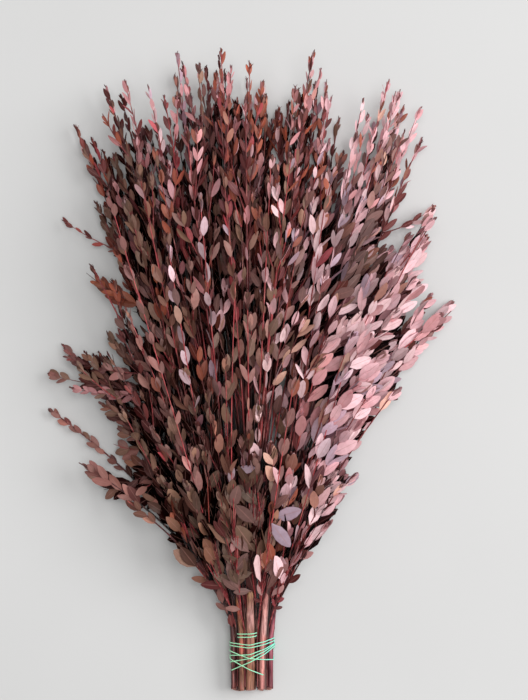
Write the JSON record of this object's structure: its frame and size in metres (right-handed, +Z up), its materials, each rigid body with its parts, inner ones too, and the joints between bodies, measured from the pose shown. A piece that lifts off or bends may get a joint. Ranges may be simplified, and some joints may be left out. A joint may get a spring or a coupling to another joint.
{
  "type": "bunch of dried eucalyptus",
  "caption": "Fan-shaped bunch of dried, dyed small-leaved eucalyptus stems, lying flat, cut square at the foot and tied with thin green string.",
  "frame": {"origin": "on the surface that the bunch lies on, in the middle of the flat foot under the cut stems", "axes": "+Y from the cut ends towards the leaf tips, +X to the right seen from above, +Z up from the surface"},
  "size_m": [0.449, 0.679, 0.119],
  "materials": {
    "dried_foliage": "matt, waxy, dyed mauve brown",
    "string": "thin green twine"
  },
  "bodies": {
    "root": {"leafy_stem_01": "dried_foliage", "leafy_stem_02": "dried_foliage", "leafy_stem_03": "dried_foliage", "leafy_stem_04": "dried_foliage", "leafy_stem_05": "dried_foliage", "leafy_stem_06": "dried_foliage", "leafy_stem_07": "dried_foliage", "leafy_stem_08": "dried_foliage", "leafy_stem_09": "dried_foliage", "leafy_stem_10": "dried_foliage", "leafy_stem_11": "dried_foliage", "leafy_stem_12": "dried_foliage", "leafy_stem_13": "dried_foliage", "leafy_stem_14": "dried_foliage", "leafy_stem_15": "dried_foliage", "tie_string": "string", "ring_string": "string"}
  },
  "joints": []
}
